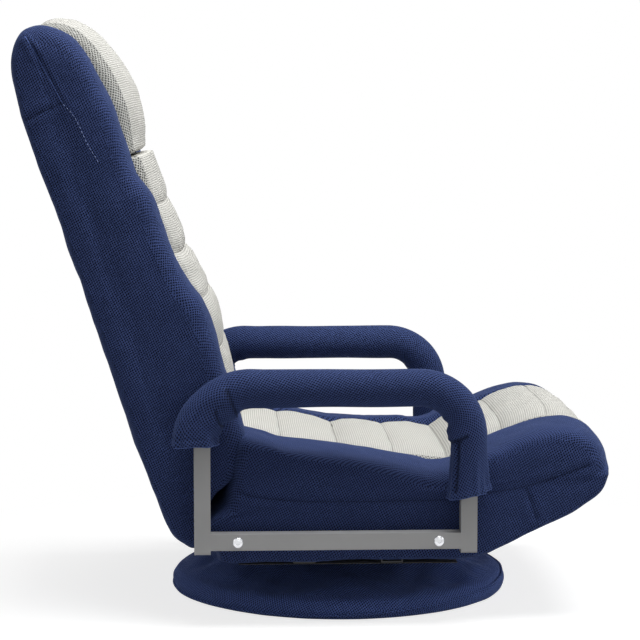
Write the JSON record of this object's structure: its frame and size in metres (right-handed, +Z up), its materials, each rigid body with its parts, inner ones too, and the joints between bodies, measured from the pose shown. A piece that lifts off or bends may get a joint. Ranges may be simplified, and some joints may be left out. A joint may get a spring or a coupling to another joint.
{
  "type": "swivel gaming floor chair",
  "caption": "Padded floor chair with a reclining channelled back, raised seat front, two padded arm frames and a round turning base.",
  "frame": {"origin": "on the swivel axis, at the floor under the centre of the round base", "axes": "+Z up along the swivel axis, -Y to the front of the chair, +X to the sitter's left"},
  "size_m": [0.6124, 0.8141, 0.8312],
  "materials": {
    "navy_mesh": "navy blue spacer air mesh with small diamond holes",
    "cream_mesh": "warm light grey spacer air mesh with fine ribs",
    "grey_tube": "satin grey powder coat",
    "grey_cap": "grey moulded plug",
    "zinc": "bright zinc plate",
    "bright_bolt": "polished nickel plate",
    "cage": "moulded cage",
    "black_steel": "black paint",
    "webbing": "black elastic webbing",
    "underlay_cloth": "black non-woven cloth",
    "arm_foam": "dark soft foam tube"
  },
  "bodies": {
    "base": {"base_bottom_cloth": "underlay_cloth", "base_ring": "black_steel", "base_spokes": "black_steel", "base_hub_plate": "black_steel", "base_cover": "navy_mesh", "swivel_lower_plate": "zinc", "swivel_kingpin": "zinc", "swivel_kingpin_nut": "zinc", "swivel_lower_bolts": "zinc"},
    "bearing": {"swivel_ball_cage": "cage", "swivel_balls": "zinc"},
    "seat": {"swivel_upper_plate": "zinc", "swivel_upper_bolts": "zinc", "swivel_bars": "black_steel", "seat_rail_left": "black_steel", "seat_rail_right": "black_steel", "seat_cross_tubes": "black_steel", "seat_nose_hoop": "black_steel", "seat_straps": "webbing", "seat_cushion": "navy_mesh", "seat_panel": "cream_mesh", "seat_bottom_cloth": "underlay_cloth", "hinge_cheeks_left": "black_steel", "hinge_cheeks_right": "black_steel", "hinge_pin_left": "zinc", "hinge_pin_right": "zinc", "pawl_pin_left": "zinc", "pawl_pin_right": "zinc", "pawl_spring_left": "zinc", "pawl_spring_right": "zinc", "arm_frame_left": "grey_tube", "arm_frame_right": "grey_tube", "arm_caps_left": "grey_cap", "arm_caps_right": "grey_cap", "arm_foam_left": "arm_foam", "arm_foam_right": "arm_foam", "arm_cover_left": "navy_mesh", "arm_cover_right": "navy_mesh", "arm_bolts_left": "bright_bolt", "arm_bolts_right": "bright_bolt", "arm_rivet_nuts_left": "zinc", "arm_rivet_nuts_right": "zinc", "arm_spacers_left": "zinc", "arm_spacers_right": "zinc"},
    "back": {"hinge_sector_left": "black_steel", "hinge_sector_right": "black_steel", "back_hoop": "black_steel", "back_cross_tubes": "black_steel", "back_straps": "webbing", "back_cushion": "navy_mesh", "back_panel": "cream_mesh", "headrest_pad": "cream_mesh"},
    "left_pawl": {"pawl_left": "zinc"},
    "right_pawl": {"pawl_right": "zinc"}
  },
  "joints": [
    {"name": "swivel", "type": "hinge", "parent": "base", "child": "seat", "pos_m": [0, 0, 0.0735], "axis": [0, 0, 1], "continuous": true},
    {"name": "bearing_turn", "type": "hinge", "parent": "base", "child": "bearing", "pos_m": [0, 0, 0.0735], "axis": [0, 0, 1], "continuous": true},
    {"name": "recline", "type": "hinge", "parent": "seat", "child": "back", "pos_m": [0, 0.19, 0.122], "axis": [-1, 0, 0], "range_deg": [-8, 71.5]},
    {"name": "left_pawl_lift", "type": "hinge", "parent": "seat", "child": "left_pawl", "pos_m": [0.2122, 0.13914, 0.11119], "axis": [1, 0, 0], "range_deg": [0, 8], "stiffness_Nm_per_rad": 0.4, "springref_deg": -2.86},
    {"name": "right_pawl_lift", "type": "hinge", "parent": "seat", "child": "right_pawl", "pos_m": [-0.2122, 0.13914, 0.11119], "axis": [1, 0, 0], "range_deg": [0, 8], "stiffness_Nm_per_rad": 0.4, "springref_deg": -2.86}
  ],
  "couplings": [
    {"joint": "bearing_turn", "follows": "swivel", "ratio": 0.5}
  ]
}
